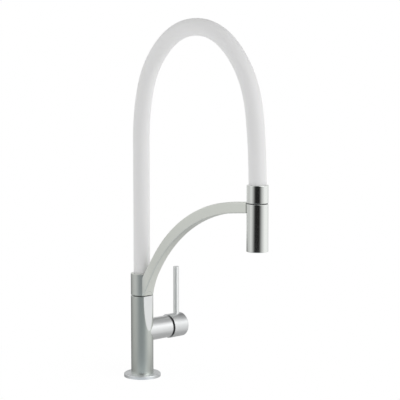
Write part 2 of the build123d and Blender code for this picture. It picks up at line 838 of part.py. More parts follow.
makers = {
    "base_flange": make_base_flange,
    "base_seal": make_base_seal,
    "mixer_body": make_mixer_body,
    "neck_spigot": make_neck_spigot,
    "neck_o_rings": make_neck_o_rings,
    "neck_slide_ring": make_neck_slide_ring,
    "cartridge_seals": make_cartridge_seals,
    "cartridge_base": make_cartridge_base,
    "fixed_disc": make_fixed_disc,
    "moving_disc": make_moving_disc,
    "cartridge_shell": make_cartridge_shell,
    "cartridge_rotor": make_cartridge_rotor,
    "pivot_pin": make_pivot_pin,
    "cartridge_nut": make_cartridge_nut,
    "bonnet_ring": make_bonnet_ring,
    "lever_stem": make_lever_stem,
    "lever_cap": make_lever_cap,
    "lever_rod": make_lever_rod,
    "lever_grub_screw": make_lever_grub_screw,
    "screw_plug": make_screw_plug,
    "support_arm": make_support_arm,
    "arm_lock_screw": make_arm_lock_screw,
    "dock_magnet": make_dock_magnet,
    "dock_pad": make_dock_pad,
    "hose_nipple_lower": make_hose_nipple_lower,
    "nipple_o_ring": make_nipple_o_ring,
    "hose_ferrule_lower": make_hose_ferrule_lower,
    "inner_hose": make_inner_hose,
    "hose_sleeve": make_hose_sleeve,
    "hose_ferrule_upper": make_hose_ferrule_upper,
    "hose_nipple_upper": make_hose_nipple_upper,
    "spindle_clip": make_spindle_clip,
    "spindle_o_ring": make_spindle_o_ring,
    "head_collar": make_head_collar,
    "swivel_ring": make_swivel_ring,
    "spray_shell": make_spray_shell,
    "keeper_ring": make_keeper_ring,
    "spray_core": make_spray_core,
    "filter_washer": make_filter_washer,
    "check_valve": make_check_valve,
    "aerator_seal": make_aerator_seal,
    "aerator_housing": make_aerator_housing,
    "aerator_insert": make_aerator_insert,
}


def write_parts():
    os.makedirs("parts", exist_ok=True)
    for name, maker in makers.items():
        made = maker()
        shape = Compound(children=made) if isinstance(made, list) else made
        export_step(shape, f"parts/{name}.step")


def print_hose_facts():
    """Print the arcs' radii, and the sleeve's volume beside its section times its length."""
    print("hose corner radii", [round(radius, 1) for radius in corner_radii(route_points())])
    section = pi * (hose_radius**2 - hose_bore_radius**2)
    length = hose_path().length
    print("hose length", round(length, 1))
    print("hose volume", round(make_hose_sleeve().volume), "section times length", round(section * length))


write_parts()
print_hose_facts()
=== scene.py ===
"""Dresses the pull-out kitchen faucet: hose, finishes, floor, studio light and camera.

Lengths are in metres. +Z is up, +X is the way the support arm and the spray head point, +Y is
the way the lever branch points, and the origin is the centre of the base flange's underside.
"""

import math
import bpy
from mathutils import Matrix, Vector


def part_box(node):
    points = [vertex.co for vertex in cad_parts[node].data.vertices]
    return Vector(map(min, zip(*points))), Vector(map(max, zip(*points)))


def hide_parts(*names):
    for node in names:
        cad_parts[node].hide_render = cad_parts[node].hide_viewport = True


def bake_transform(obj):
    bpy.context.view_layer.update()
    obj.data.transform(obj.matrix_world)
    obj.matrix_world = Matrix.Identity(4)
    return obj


bl_info = {
    "name": "Pull-out kitchen faucet",
    "version": (1, 0, 0),
    "blender": (4, 5, 0),
    "location": "View3D > Sidebar > Faucet",
    "description": "Adds a pull-out kitchen faucet's hose, finishes, floor, light and camera",
    "category": "Object",
}

import bpy
from bpy.props import FloatProperty, FloatVectorProperty, IntProperty, PointerProperty
from bpy.types import Operator, Panel, PropertyGroup
from mathutils import Vector

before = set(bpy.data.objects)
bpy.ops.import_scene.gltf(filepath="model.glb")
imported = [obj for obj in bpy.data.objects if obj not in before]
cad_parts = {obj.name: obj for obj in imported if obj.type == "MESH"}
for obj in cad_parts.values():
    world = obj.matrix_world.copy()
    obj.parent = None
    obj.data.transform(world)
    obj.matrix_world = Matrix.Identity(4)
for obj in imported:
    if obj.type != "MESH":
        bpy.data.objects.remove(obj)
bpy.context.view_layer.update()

SLEEVE_LOW, SLEEVE_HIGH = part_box("hose_sleeve")
CAP_LOW, CAP_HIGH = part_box("lever_cap")

COLUMN_RADIUS = 0.017
ROUND_WALL_TOLERANCE = 0.0002
BRANCH_HEIGHT = (CAP_LOW.z + CAP_HIGH.z) / 2

# The arcs of the arm's upper and lower faces, with their centres in the X-Z plane.
ARM_OUTER_CENTER = (0.2213, 0.0537)
ARM_INNER_CENTER = (0.2261, 0.0426)
ARM_INNER_RADIUS = 0.2277

HOSE_CURVE_ORDER = 3
HOSE_CURVE_STEPS = 26
WATER_HOSE_SIDES = 32

# The hose's centre line in the X-Z plane, from the collar's socket to the spray head's.
HOSE_ROUTE = (
    (0.0, 0.150),
    (0.0, 0.323),
    (0.0, 0.402),
    (0.022, 0.478),
    (0.087, 0.531),
    (0.170, 0.526),
    (0.233, 0.460),
    (0.248, 0.366),
    (0.248, 0.300),
)

CAMERA_PLACE = (1.5479, -1.2961, 0.4956)
SENSOR_WIDTH = 36.0

# The brush lines fade in and out along themselves: cells in each metre, and in each radian.
LINE_DRIFT = 28.0
ARM_LINE_DRIFT = 8.0

# Where the painted highlight on the arm's lower edges starts and stops above its lower face, and
# along X.
EDGE_START = (0.0001, 0.0004)
EDGE_STOP = (0.0009, 0.0013)
EDGE_RUN_OUT = (0.19, 0.205)

# Satin steel: its mean brightness, and how far each pattern changes it.
STEEL_TONE = 0.965
LINE_TONE = 0.05
HANDLING_TONE = 0.02
GRAIN_TONE = 0.01

# Satin steel: what the patterns add to its roughness, and what is taken off to keep the mean.
LINE_BLUR = 0.08
HANDLING_BLUR = 0.03
PATTERN_MEAN = 0.05
FLANGE_BLUR = 0.12
ROD_BLUR = 0.24

# Brightness of the studio's walls by direction: 0 and 1 are behind the faucet, 0.5 is behind the
# camera, 0.25 is on the left and 0.75 is on the right.
WALL_STOPS = (
    (0.0, 0.85),
    (0.128, 0.6),
    (0.25, 0.6),
    (0.306, 0.74),
    (0.345, 0.64),
    (0.4, 0.26),
    (0.43, 0.06),
    (0.455, 0.015),
    (0.54, 0.015),
    (0.567, 0.09),
    (0.594, 0.34),
    (0.64, 0.64),
    (0.7, 0.92),
    (0.765, 0.95),
    (0.86, 0.83),
    (1.0, 0.85),
)

# The studio's soft boxes and the shade on its ceiling: turn and rise in degrees, then the cosines
# between which each fades in.
KEY_BOX = (54, 32, 0.82, 0.95)
FILL_BOX = (-80, 35, 0.6, 0.9)
CEILING_SHADE = (168, 40, 0.84, 0.98)
CEILING_SHADE_DEPTH = 0.5

# Between which heights of a direction the ceiling and the sweep take over from the walls.
CEILING_FADE = (0.2, 0.7)
SWEEP_FADE = (0.3, 0.7)

# The floor as shiny surfaces mirror it, with painted light and shade: darker near the foot, a
# painted pool of light on the right, lighter ahead of the foot and darker on its left close round
# it, painted shade behind on the left and a painted cool tint ahead. A _FADE is a pair of
# distances from the faucet's axis, and a _SIDE is a pair of shares, 1 being straight to that side.
FLOOR_DROP = 0.0002
AXIS_GUARD = 0.01
NEAR_LEVEL = 0.52
FOOT_SHARE = 0.84
FOOT_FADE = (0.1, 0.9)
LIGHT_POOL_LEVEL = 0.38
LIGHT_POOL_RIGHT_SIDE = (0.75, 0.97)
LIGHT_POOL_FADE = (0.1, 0.18)
RIM_FADE = (0.05, 0.075)
RIM_AHEAD_LEVEL = 0.5
RIM_LEFT_LEVEL = 0.25
RIM_LEFT_SIDE = (0.3, 0.9)
AHEAD_SIDE = (0.3, 0.95)
REFLECTED_COOL_TINT = (0.92, 1, 1.06)
WALL_FADE = (1.0, 1.5)
SHADE_DEPTH = 0.65
SHADE_FADE = (1.2, 1.7)
SHADE_BACK_SIDE = (0.2, 0.8)
SHADE_LEFT_SIDE = (0.0, 0.5)

# The floor as the camera sees it: a little darker round the foot.
SEEN_AT_FOOT = 0.93
SEEN_FADE = (0.06, 0.3)
SEEN_FILL = 0.45


# Shader expressions


class Signal:
    """A shader value. Arithmetic on it adds Math nodes."""

    def __init__(self, tree, socket):
        self.tree = tree
        self.socket = socket

    def math(self, operation, *values):
        node = self.tree.nodes.new("ShaderNodeMath")
        node.operation = operation
        for socket, value in zip(node.inputs, values):
            if isinstance(value, Signal):
                self.tree.links.new(value.socket, socket)
            else:
                socket.default_value = value
        return Signal(self.tree, node.outputs[0])

    def __add__(self, other):
        return self.math("ADD", self, other)

    def __radd__(self, other):
        return self.math("ADD", other, self)

    def __sub__(self, other):
        return self.math("SUBTRACT", self, other)

    def __rsub__(self, other):
        return self.math("SUBTRACT", other, self)

    def __mul__(self, other):
        return self.math("MULTIPLY", self, other)

    def __rmul__(self, other):
        return self.math("MULTIPLY", other, self)

    def __truediv__(self, other):
        return self.math("DIVIDE", self, other)

    def root(self):
        return self.math("SQRT", self)

    def angle_to(self, other):
        """The angle whose tangent is self over other."""
        return self.math("ARCTAN2", self, other)

    def smooth(self, low, high):
        """0 below low, 1 above high, and an S-shaped slope between them."""
        node = self.tree.nodes.new("ShaderNodeMapRange")
        node.interpolation_type = "SMOOTHSTEP"
        self.tree.links.new(self.socket, node.inputs["Value"])
        node.inputs["From Min"].default_value = low
        node.inputs["From Max"].default_value = high
        return Signal(self.tree, node.outputs["Result"])


class Sheet:
    """The node tree of a material or of the world."""

    def __init__(self, owner):
        owner.use_nodes = True
        self.tree = owner.node_tree
        self.tree.nodes.clear()

    def add(self, kind, settings=None, **values):
        """Adds a node and sets its settings and sockets.

        A socket's name has _ for each space, or is _ and the socket's number.
        """
        node = self.tree.nodes.new(kind)
        for name, value in (settings or {}).items():
            if name == "stops":
                self.set_stops(node.color_ramp, value)
            else:
                setattr(node, name, value)
        for name, value in values.items():
            socket = self.find_socket(node, name)
            if isinstance(value, Signal):
                self.tree.links.new(value.socket, socket)
            else:
                socket.default_value = value
        return node

    def set_stops(self, ramp, stops):
        while len(ramp.elements) < len(stops):
            ramp.elements.new(0.5)
        for element, (place, color) in zip(ramp.elements, stops):
            element.position = place
            element.color = (*color, 1) if hasattr(color, "__len__") else (color, color, color, 1)

    def find_socket(self, node, name):
        if name[0] == "_":
            return node.inputs[int(name[1:])]
        return node.inputs[name.replace("_", " ")]

    def out(self, node, name=0):
        return Signal(self.tree, node.outputs[name])

    def place(self):
        """X, Y and Z on the piece, in the faucet's own frame."""
        coordinates = self.add("ShaderNodeTexCoord")
        parts = self.add("ShaderNodeSeparateXYZ", Vector=self.out(coordinates, "Object"))
        return self.out(parts, "X"), self.out(parts, "Y"), self.out(parts, "Z")

    def vector(self, x, y, z):
        return self.out(self.add("ShaderNodeCombineXYZ", X=x, Y=y, Z=z))

    def noise(self, vector, scale, detail, roughness):
        settings = {"Scale": scale, "Detail": detail, "Roughness": roughness}
        return self.out(self.add("ShaderNodeTexNoise", Vector=vector, **settings), "Fac")

    def cloud(self, scale, detail, roughness):
        """Noise in the piece's own space, with scale in cells for each metre."""
        return self.noise(self.object_vector(), scale, detail, roughness)

    def object_vector(self):
        return self.out(self.add("ShaderNodeTexCoord"), "Object")

    def mix_color(self, factor, first, second):
        """Blends two colours."""
        node = self.add("ShaderNodeMix", {"data_type": "RGBA"}, Factor=factor)
        for socket, value in zip((node.inputs[6], node.inputs[7]), (first, second)):
            if isinstance(value, Signal):
                self.tree.links.new(value.socket, socket)
            else:
                socket.default_value = (*value, 1)
        return Signal(self.tree, node.outputs[2])

    def shade(self, color, factor):
        """A colour made darker or lighter by a factor near 1."""
        node = self.add("ShaderNodeVectorMath", {"operation": "SCALE"}, _0=color, Scale=factor)
        return self.out(node)

    def bump(self, height, distance, strength):
        node = self.add("ShaderNodeBump", Height=height)
        node.inputs["Distance"].default_value = distance
        node.inputs["Strength"].default_value = strength
        return self.out(node, "Normal")

    def surface(self, **values):
        shader = self.add("ShaderNodeBsdfPrincipled", **values)
        self.add("ShaderNodeOutputMaterial", Surface=self.out(shader))
        return shader


def new_material(name):
    material = bpy.data.materials.new(name)
    return material, Sheet(material)


def darkened(color, share):
    return [channel * share for channel in color]


def dress(material, names):
    """Gives construction nodes a material."""
    for name in names:
        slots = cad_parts[name].data.materials
        slots.clear()
        slots.append(material)


# Brushing


def length(a, b):
    """Length of a flat vector."""
    return (a * a + b * b).root()


def turned_lines(sheet, along, across_a, across_b, lines_per_metre):
    """Fine lines round an axis: rings on an end face, hoops on a side."""
    run = (along + length(across_a, across_b)) * lines_per_metre
    return sheet.vector(run, across_a * LINE_DRIFT, across_b * LINE_DRIFT)


def lines_round_column(sheet, x, y, z, lines_per_metre):
    return turned_lines(sheet, z, x, y, lines_per_metre)


def lines_round_branch(sheet, x, y, z, lines_per_metre):
    return turned_lines(sheet, y, x, z - BRANCH_HEIGHT, lines_per_metre)


def lines_along_arm(sheet, x, y, z, lines_per_metre):
    """Fine lines that follow the arm's curve."""
    off_x = x - ARM_OUTER_CENTER[0]
    off_z = z - ARM_OUTER_CENTER[1]
    run = length(off_x, off_z) * lines_per_metre
    return sheet.vector(run, y * lines_per_metre, off_z.angle_to(off_x) * ARM_LINE_DRIFT)


def off_column(x, y):
    """1 off the column's round wall, as on the branch, the arm and the flats, and 0 on it."""
    radius = length(x, y)
    return 1 - radius.math("COMPARE", radius, COLUMN_RADIUS, ROUND_WALL_TOLERANCE)


def arm_lower_edges(x, z):
    """1 on the rounded edges under the arm's curve, where a painted highlight brightens the steel.
    """
    radius = length(x - ARM_INNER_CENTER[0], z - ARM_INNER_CENTER[1])
    above = radius - ARM_INNER_RADIUS
    edge = above.smooth(*EDGE_START) * (1 - above.smooth(*EDGE_STOP))
    return edge * (1 - x.smooth(*EDGE_RUN_OUT))


def brushed_steel(
    name, settings, color, line_maker, other_color=None, other_maker=None, extra_blur=0.0
):
    """Satin steel, with other lines and a lighter colour, painted light, off the column's round
    wall.
    """
    material, sheet = new_material(name)
    x, y, z = sheet.place()

    def brush_lines(maker):
        across = maker(sheet, x, y, z, settings.lines_per_metre)
        return sheet.noise(across, scale=1.0, detail=3.0, roughness=0.65)

    lines = brush_lines(line_maker)
    edge_highlight = 1.0
    if other_maker:
        other = off_column(x, y)
        lines = lines * (1 - other) + brush_lines(other_maker) * other
        # Painted light: off the round wall the steel takes the lighter second colour.
        color = sheet.mix_color(other, color, other_color)
        # Painted highlight: the rounded edges under the arm are made lighter than the rest of the
        # arm.
        edge_highlight = 1 + other * arm_lower_edges(x, z) * settings.painted_edge_highlight
    handling = sheet.cloud(scale=55.0, detail=3.0, roughness=0.6)
    grain = sheet.cloud(scale=900.0, detail=2.0, roughness=0.6)
    tone = STEEL_TONE + lines * LINE_TONE + handling * HANDLING_TONE - grain * GRAIN_TONE
    mean_rough = settings.steel_roughness + extra_blur - PATTERN_MEAN
    sheet.surface(
        Base_Color=sheet.shade(color, tone * edge_highlight),
        Metallic=1.0,
        Roughness=mean_rough + lines * LINE_BLUR + handling * HANDLING_BLUR,
        Anisotropic=settings.steel_stretch,
        Anisotropic_Rotation=0.25,
        Normal=sheet.bump(lines, distance=0.00002, strength=0.25),
    )
    return material


def polished(name, color, roughness, smear):
    """Polished metal with faint wiping marks."""
    material, sheet = new_material(name)
    smudge = sheet.cloud(scale=70.0, detail=4.0, roughness=0.6)
    haze = sheet.cloud(scale=900.0, detail=2.0, roughness=0.5)
    wiped = smudge.smooth(0.45, 0.75)
    sheet.surface(
        Base_Color=sheet.mix_color(smudge, color, darkened(color, 0.985)),
        Metallic=1.0,
        Roughness=roughness + wiped * smear + haze * 0.008,
    )
    return material


def machined(name, color, roughness):
    """Turned metal of the hidden fittings."""
    material, sheet = new_material(name)
    x, y, z = sheet.place()
    across = turned_lines(sheet, z, x, y, lines_per_metre=5200.0)
    lines = sheet.noise(across, scale=1.0, detail=2.0, roughness=0.6)
    tarnish = sheet.cloud(scale=120.0, detail=4.0, roughness=0.6).smooth(0.35, 0.7)
    sheet.surface(
        Base_Color=sheet.mix_color(tarnish, color, darkened(color, 0.86)),
        Metallic=1.0,
        Roughness=roughness + lines * 0.12,
        Normal=sheet.bump(lines, distance=0.00002, strength=0.4),
    )
    return material


def moulded(name, color, roughness, speckle=900.0):
    """Moulded plastic, rubber or ground ceramic with a fine eggshell face."""
    material, sheet = new_material(name)
    cloud = sheet.cloud(scale=45.0, detail=3.0, roughness=0.5)
    pores = sheet.cloud(scale=speckle, detail=3.0, roughness=0.6)
    sheet.surface(
        Base_Color=sheet.mix_color(cloud, color, darkened(color, 0.93)),
        Roughness=roughness + pores * 0.08,
        Normal=sheet.bump(pores, distance=0.00003, strength=0.35),
    )
    return material


def silicone(name, settings):
    """Soft satin silicone: faint clouding, specks of dust and a fine skin."""
    material, sheet = new_material(name)
    cloud = sheet.cloud(scale=22.0, detail=3.0, roughness=0.5)
    skin = sheet.cloud(scale=1400.0, detail=3.0, roughness=0.6)
    dust = sheet.cloud(scale=420.0, detail=4.0, roughness=0.7).smooth(0.62, 0.8)
    base = settings.silicone_color
    color = sheet.mix_color(cloud, base, darkened(base, 0.975))
    sheet.surface(
        Base_Color=sheet.shade(color, 1 - dust * 0.015),
        Roughness=settings.silicone_roughness + skin * 0.06 + cloud * 0.04,
        Normal=sheet.bump(skin, distance=0.00002, strength=0.3),
        Subsurface_Weight=0.08,
        Subsurface_Radius=(0.004, 0.004, 0.0035),
        Subsurface_Scale=0.5,
        Specular_IOR_Level=0.4,
        Sheen_Weight=0.03,
    )
    return material


# Hose


def route_curve(name, points):
    """The hose's centre line as one NURBS spline through the given points."""
    curve = bpy.data.curves.new(name, "CURVE")
    curve.dimensions = "3D"
    spline = curve.splines.new("NURBS")
    spline.points.add(len(points) - 1)
    for point, (x, z) in zip(spline.points, points):
        point.co = (x, 0.0, z, 1.0)
    spline.order_u = HOSE_CURVE_ORDER
    spline.use_endpoint_u = True
    spline.resolution_u = HOSE_CURVE_STEPS
    return bpy.data.objects.new(name, curve)


def line_points(curve_object):
    """Points along a curve that has no bevel."""
    bpy.context.scene.collection.objects.link(curve_object)
    bpy.context.view_layer.update()
    mesh = bpy.data.meshes.new_from_object(curve_object)
    points = [vertex.co.copy() for vertex in mesh.vertices]
    bpy.data.meshes.remove(mesh)
    bpy.data.objects.remove(curve_object)
    return points


def tube_mesh(name, points, outer, inner, sides):
    """A hollow tube along points that lie in the X-Z plane, closed at both ends."""
    vertices = []
    faces = []
    rings = []
    across = Vector((0.0, 1.0, 0.0))
    for index, point in enumerate(points):
        before = points[max(index - 1, 0)]
        after = points[min(index + 1, len(points) - 1)]
        outward = (after - before).normalized().cross(across)
        for radius in (outer, inner):
            rings.append(len(vertices))
            for side in range(sides):
                angle = 2 * math.pi * side / sides
                spoke = math.cos(angle) * outward + math.sin(angle) * across
                vertices.append(point + radius * spoke)
    last = len(points) - 1
    for index in range(last):
        for wall in (0, 1):
            here = rings[2 * index + wall]
            there = rings[2 * index + 2 + wall]
            for side in range(sides):
                step = (side + 1) % sides
                face = (here + side, here + step, there + step, there + side)
                faces.append(face if wall else face[::-1])
    for index in (0, last):
        outside = rings[2 * index]
        inside = rings[2 * index + 1]
        for side in range(sides):
            step = (side + 1) % sides
            face = (outside + side, outside + step, inside + step, inside + side)
            faces.append(face if index else face[::-1])
    mesh = bpy.data.meshes.new(name)
    mesh.from_pydata(vertices, [], faces)
    mesh.validate()
    mesh.shade_smooth()
    return mesh


def add_tube(name, points, outer, inner, sides, material):
    piece = bpy.data.objects.new(name, tube_mesh(name, points, outer, inner, sides))
    bpy.context.scene.collection.objects.link(piece)
    piece.data.materials.append(material)
    return piece


def bend_with_head(piece):
    """Bakes the piece's placement into its mesh."""
    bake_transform(piece)


# Studio


def turned_to_camera(x, y, azimuth):
    """How far a place or direction is to the camera's right, and how far towards the camera."""
    right = x * math.cos(azimuth) + y * math.sin(azimuth)
    front = x * math.sin(azimuth) - y * math.cos(azimuth)
    return right, front


def towards(right, front, up, turn, rise, low, high):
    """1 towards a place in the studio, fading out round it.

    The place's turn is in degrees from the camera's direction to the right, and its rise is in
    degrees from level. The fade runs between the cosines low and high.
    """
    turn = math.radians(turn)
    rise = math.radians(rise)
    level = math.cos(rise)
    flat = right * (level * math.sin(turn)) + front * (level * math.cos(turn))
    return (flat + up * math.sin(rise)).smooth(low, high)


def studio_walls(sheet, right, front):
    """Brightness of the studio's walls in a direction."""
    share = right.angle_to(front) / (2 * math.pi) + 0.5
    return sheet.out(sheet.add("ShaderNodeValToRGB", {"stops": WALL_STOPS}, Fac=share))


# Settings


class FaucetFinishSettings(PropertyGroup):
    """Colours and finishes of the metal and the silicone."""

    # Painted shade: the column's round wall gets a darker copy of the one satin steel.
    column_shaded_color: FloatVectorProperty(
        name="Column colour",
        description="Colour of the satin steel on the column's round wall",
        subtype="COLOR",
        default=(0.6, 0.63, 0.595),
        min=0.0,
        max=1.0,
    )
    # Painted light: the branch and the column's flat get a lighter copy of the same steel.
    branch_lit_color: FloatVectorProperty(
        name="Branch colour",
        description="Colour of the satin steel on the lever branch and the column's flat",
        subtype="COLOR",
        default=(0.79, 0.803, 0.803),
        min=0.0,
        max=1.0,
    )
    collar_color: FloatVectorProperty(
        name="Collar colour",
        description="Colour of the satin steel on the turning collar",
        subtype="COLOR",
        default=(0.652, 0.68, 0.648),
        min=0.0,
        max=1.0,
    )
    # Painted light: the arm gets a lighter copy of the satin steel than the collar.
    arm_lit_color: FloatVectorProperty(
        name="Arm colour",
        description="Colour of the satin steel on the support arm",
        subtype="COLOR",
        default=(0.8, 0.825, 0.775),
        min=0.0,
        max=1.0,
    )
    lever_color: FloatVectorProperty(
        name="Lever colour",
        description="Colour of the satin steel on the lever's cap",
        subtype="COLOR",
        default=(0.757, 0.77, 0.773),
        min=0.0,
        max=1.0,
    )
    # Painted light: the rod gets a lighter copy of the satin steel.
    rod_lit_color: FloatVectorProperty(
        name="Rod colour",
        description="Colour of the satin steel on the lever's rod",
        subtype="COLOR",
        default=(0.91, 0.925, 0.918),
        min=0.0,
        max=1.0,
    )
    # Painted light: the flange gets a lighter copy of the satin steel.
    flange_lit_color: FloatVectorProperty(
        name="Flange colour",
        description="Colour of the satin steel on the base flange",
        subtype="COLOR",
        default=(0.785, 0.803, 0.812),
        min=0.0,
        max=1.0,
    )
    # Painted highlight: how much lighter the rounded edges under the arm are made.
    painted_edge_highlight: FloatProperty(
        name="Edge burnish",
        description="How much brighter the rounded edges under the arm are",
        default=0.18,
        min=0.0,
        max=0.2,
    )
    steel_roughness: FloatProperty(
        name="Steel roughness",
        description="How soft the reflections in the satin steel are",
        default=0.34,
        min=0.0,
        max=1.0,
        subtype="FACTOR",
    )
    steel_stretch: FloatProperty(
        name="Steel stretch",
        description="How much the brushing draws reflections out across its lines",
        default=0.5,
        min=0.0,
        max=1.0,
        subtype="FACTOR",
    )
    lines_per_metre: FloatProperty(
        name="Brush lines",
        description="Brush lines in each metre of steel",
        default=3600.0,
        min=100.0,
    )
    chrome_color: FloatVectorProperty(
        name="Chrome colour",
        description="Colour of the polished spray head",
        subtype="COLOR",
        default=(0.875, 0.9, 0.87),
        min=0.0,
        max=1.0,
    )
    chrome_roughness: FloatProperty(
        name="Chrome roughness",
        description="How soft the reflections in the polished spray head are",
        default=0.07,
        min=0.0,
        max=1.0,
        subtype="FACTOR",
    )
    silicone_color: FloatVectorProperty(
        name="Silicone colour",
        description="Colour of the hose",
        subtype="COLOR",
        default=(0.84, 0.84, 0.84),
        min=0.0,
        max=1.0,
    )
    silicone_roughness: FloatProperty(
        name="Silicone roughness",
        description="How dull the hose's skin is",
        default=0.42,
        min=0.0,
        max=1.0,
        subtype="FACTOR",
    )


class FaucetHoseSettings(PropertyGroup):
    """Sizes of the hose."""

    outer_radius: FloatProperty(
        name="Sleeve radius",
        description="Outer radius of the silicone sleeve",
        default=(SLEEVE_HIGH.y - SLEEVE_LOW.y) / 2,
        min=0.002,
        unit="LENGTH",
    )
    wall: FloatProperty(
        name="Sleeve wall",
        description="Thickness of the silicone",
        default=0.0047,
        min=0.0005,
        unit="LENGTH",
    )
    inner_hose_radius: FloatProperty(
        name="Water hose radius",
        description="Outer radius of the water hose inside the silicone",
        default=0.0065,
        min=0.001,
        unit="LENGTH",
    )
    inner_hose_wall: FloatProperty(
        name="Water hose wall",
        description="Thickness of the water hose",
        default=0.002,
        min=0.0005,
        unit="LENGTH",
    )
    sides: IntProperty(
        name="Sides",
        description="Faces round the silicone sleeve",
        default=64,
        min=12,
    )


class FaucetStageSettings(PropertyGroup):
    """The floor and the studio."""

    floor_color: FloatVectorProperty(
        name="Floor colour",
        description="Colour of the pale floor",
        subtype="COLOR",
        default=(0.8, 0.8, 0.8),
        min=0.0,
        max=1.0,
    )
    floor_size: FloatProperty(
        name="Floor size",
        description="Width of the floor",
        default=30.0,
        min=2.0,
        unit="LENGTH",
    )
    table_glow: FloatProperty(
        name="Table glow",
        description="Share of the floor's light that comes through it, as on a light table",
        default=0.79,
        min=0.0,
        max=1.0,
        subtype="FACTOR",
    )
    ceiling_level: FloatProperty(
        name="Ceiling level",
        description="Brightness of the studio above the soft boxes",
        default=0.42,
        min=0.0,
        max=2.0,
    )
    sweep_level: FloatProperty(
        name="Sweep level",
        description="Brightness of the white sweep that shiny surfaces show below them",
        default=0.7,
        min=0.0,
        max=2.0,
    )
    key_level: FloatProperty(
        name="Key level",
        description="Brightness of the soft box on the right",
        default=1.5,
        min=0.0,
        max=3.0,
    )
    fill_level: FloatProperty(
        name="Fill level",
        description="Brightness of the soft box on the left",
        default=0.45,
        min=0.0,
        max=3.0,
    )
    view_azimuth: FloatProperty(
        name="View azimuth",
        description="Camera's turn round the faucet, from a view along +Y",
        default=math.radians(47.554),
        subtype="ANGLE",
    )
    view_pitch: FloatProperty(
        name="View pitch",
        description="How far the camera looks down",
        default=math.radians(6.361),
        subtype="ANGLE",
    )
    focal_length: FloatProperty(
        name="Focal length",
        description="Camera's focal length in millimetres, on a 36 mm sensor",
        default=120.9,
        min=10.0,
    )


BLACK_RUBBER = (
    "base_seal",
    "neck_o_rings",
    "nipple_o_ring",
    "spindle_o_ring",
    "cartridge_seals",
    "filter_washer",
    "aerator_seal",
)
BLACK_PLASTIC = ("neck_slide_ring", "bonnet_ring", "swivel_ring", "dock_pad", "aerator_insert")
BRASS = ("neck_spigot", "hose_nipple_lower", "hose_nipple_upper", "cartridge_nut")
PLAIN_STEEL = (
    "arm_lock_screw",
    "hose_ferrule_lower",
    "hose_ferrule_upper",
    "spindle_clip",
    "keeper_ring",
    "pivot_pin",
    "lever_stem",
    "lever_grub_screw",
)
WHITE_PLASTIC = (
    "cartridge_base",
    "cartridge_shell",
    "cartridge_rotor",
    "spray_core",
    "check_valve",
)
CERAMIC = ("fixed_disc", "moving_disc")


# Operators


class FAUCET_OT_camera(Operator):
    """Add the camera at the faucet's three-quarter view"""

    bl_idname = "faucet.camera"
    bl_label = "Camera"

    def execute(self, context):
        settings = context.scene.faucet_stage
        data = bpy.data.cameras.new("faucet_camera")
        data.sensor_width = SENSOR_WIDTH
        data.lens = settings.focal_length
        camera = bpy.data.objects.new("faucet_camera", data)
        context.scene.collection.objects.link(camera)
        camera.location = CAMERA_PLACE
        camera.rotation_euler = (math.pi / 2 - settings.view_pitch, 0.0, settings.view_azimuth)
        context.scene.camera = camera
        return {"FINISHED"}


class FAUCET_OT_hose(Operator):
    """Add the silicone sleeve and the water hose inside it"""

    bl_idname = "faucet.hose"
    bl_label = "Hose"

    def execute(self, context):
        hose = context.scene.faucet_hose
        points = line_points(route_curve("hose_line", HOSE_ROUTE))
        skin = silicone("white_silicone", context.scene.faucet_finish)
        bore = hose.outer_radius - hose.wall
        sleeve = add_tube("silicone_sleeve", points, hose.outer_radius, bore, hose.sides, skin)
        plastic = moulded("inner_tube", color=(0.5, 0.52, 0.55), roughness=0.4)
        radius = hose.inner_hose_radius
        bore = radius - hose.inner_hose_wall
        inner = add_tube("water_hose", points, radius, bore, WATER_HOSE_SIDES, plastic)
        for piece, node, slot in (
            (sleeve, "hose_sleeve", "white_silicone"),
            (inner, "inner_hose", "inner_tube"),
        ):
            bend_with_head(piece)
            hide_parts(node)
        return {"FINISHED"}


class FAUCET_OT_steel(Operator):
    """Give the column, flange, lever and arm their satin steel"""

    bl_idname = "faucet.steel"
    bl_label = "Satin steel"

    def execute(self, context):
        finish = context.scene.faucet_finish
        round_lines = lines_round_column
        # Painted light: the flange and the rod get lighter copies of the steel.
        blurred = (
            ("base_flange", "satin_steel_flange", finish.flange_lit_color, FLANGE_BLUR),
            ("lever_rod", "satin_steel_rod", finish.rod_lit_color, ROD_BLUR),
        )
        for node, name, color, blur in blurred:
            dress(brushed_steel(name, finish, color, round_lines, extra_blur=blur), (node,))
        lever = brushed_steel("satin_steel_lever", finish, finish.lever_color, lines_round_branch)
        dress(lever, ("lever_cap", "screw_plug"))
        # Painted light and shade: darker steel on the round wall, lighter on the branch and flat.
        column = (finish.column_shaded_color, round_lines, finish.branch_lit_color, lines_round_branch)
        dress(brushed_steel("satin_steel_body", finish, *column), ("mixer_body",))
        # Painted light: the arm gets a lighter steel than the collar.
        collar = (finish.collar_color, round_lines, finish.arm_lit_color, lines_along_arm)
        dress(brushed_steel("satin_steel_arm", finish, *collar), ("support_arm",))
        return {"FINISHED"}


class FAUCET_OT_chrome(Operator):
    """Polish the spray head and its collar"""

    bl_idname = "faucet.chrome"
    bl_label = "Polished spray head"

    def execute(self, context):
        finish = context.scene.faucet_finish
        shine = {"roughness": finish.chrome_roughness, "smear": 0.03}
        chrome = polished("polished_chrome", finish.chrome_color, **shine)
        dress(chrome, ("spray_shell", "head_collar"))
        plated = polished("plated_plastic", (0.7, 0.71, 0.72), roughness=0.12, smear=0.05)
        dress(plated, ("aerator_housing",))
        return {"FINISHED"}


class FAUCET_OT_seals(Operator):
    """Give the seals and dark rings their rubber and plastic"""

    bl_idname = "faucet.seals"
    bl_label = "Seals and dark rings"

    def execute(self, context):
        dress(moulded("black_rubber", (0.022, 0.022, 0.023), roughness=0.62), BLACK_RUBBER)
        dress(moulded("black_plastic", (0.03, 0.03, 0.032), roughness=0.42), BLACK_PLASTIC)
        return {"FINISHED"}


